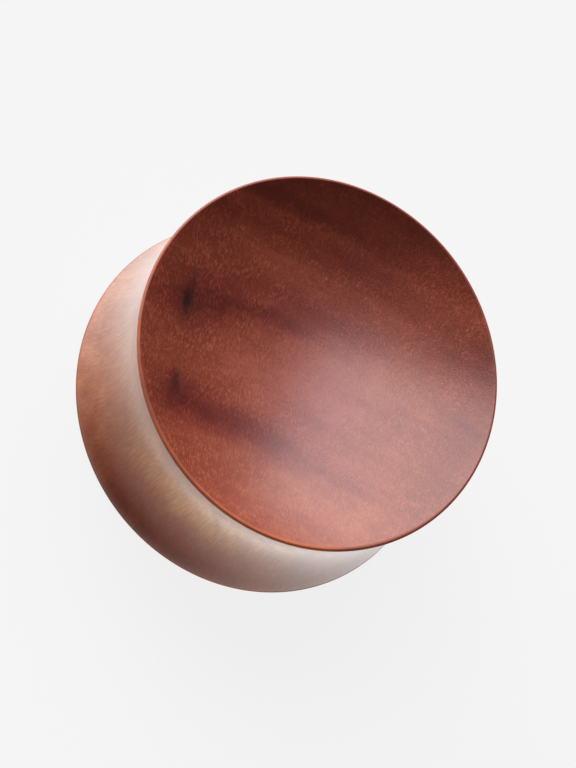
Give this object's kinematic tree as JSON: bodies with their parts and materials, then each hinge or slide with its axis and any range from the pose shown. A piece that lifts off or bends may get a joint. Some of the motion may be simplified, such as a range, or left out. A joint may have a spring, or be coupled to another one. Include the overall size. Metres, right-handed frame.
{
  "type": "saddle plug for a stretched ear lobe",
  "caption": "Turned wooden saddle plug for a stretched ear lobe, with a hollow waist between flared rims and a shallow dish in each face.",
  "frame": {"origin": "middle of the back rim, on the surface that the plug stands on", "axes": "+Z along the plug's axis, from the back rim up to the front rim; the plug is turned, so X and Y may point any way across it"},
  "size_m": [0.027, 0.027, 0.0122],
  "materials": {
    "wood": "satin, sanded and oiled, reddish brown with darker streaks"
  },
  "bodies": {
    "root": {"plug": "wood"}
  },
  "joints": []
}
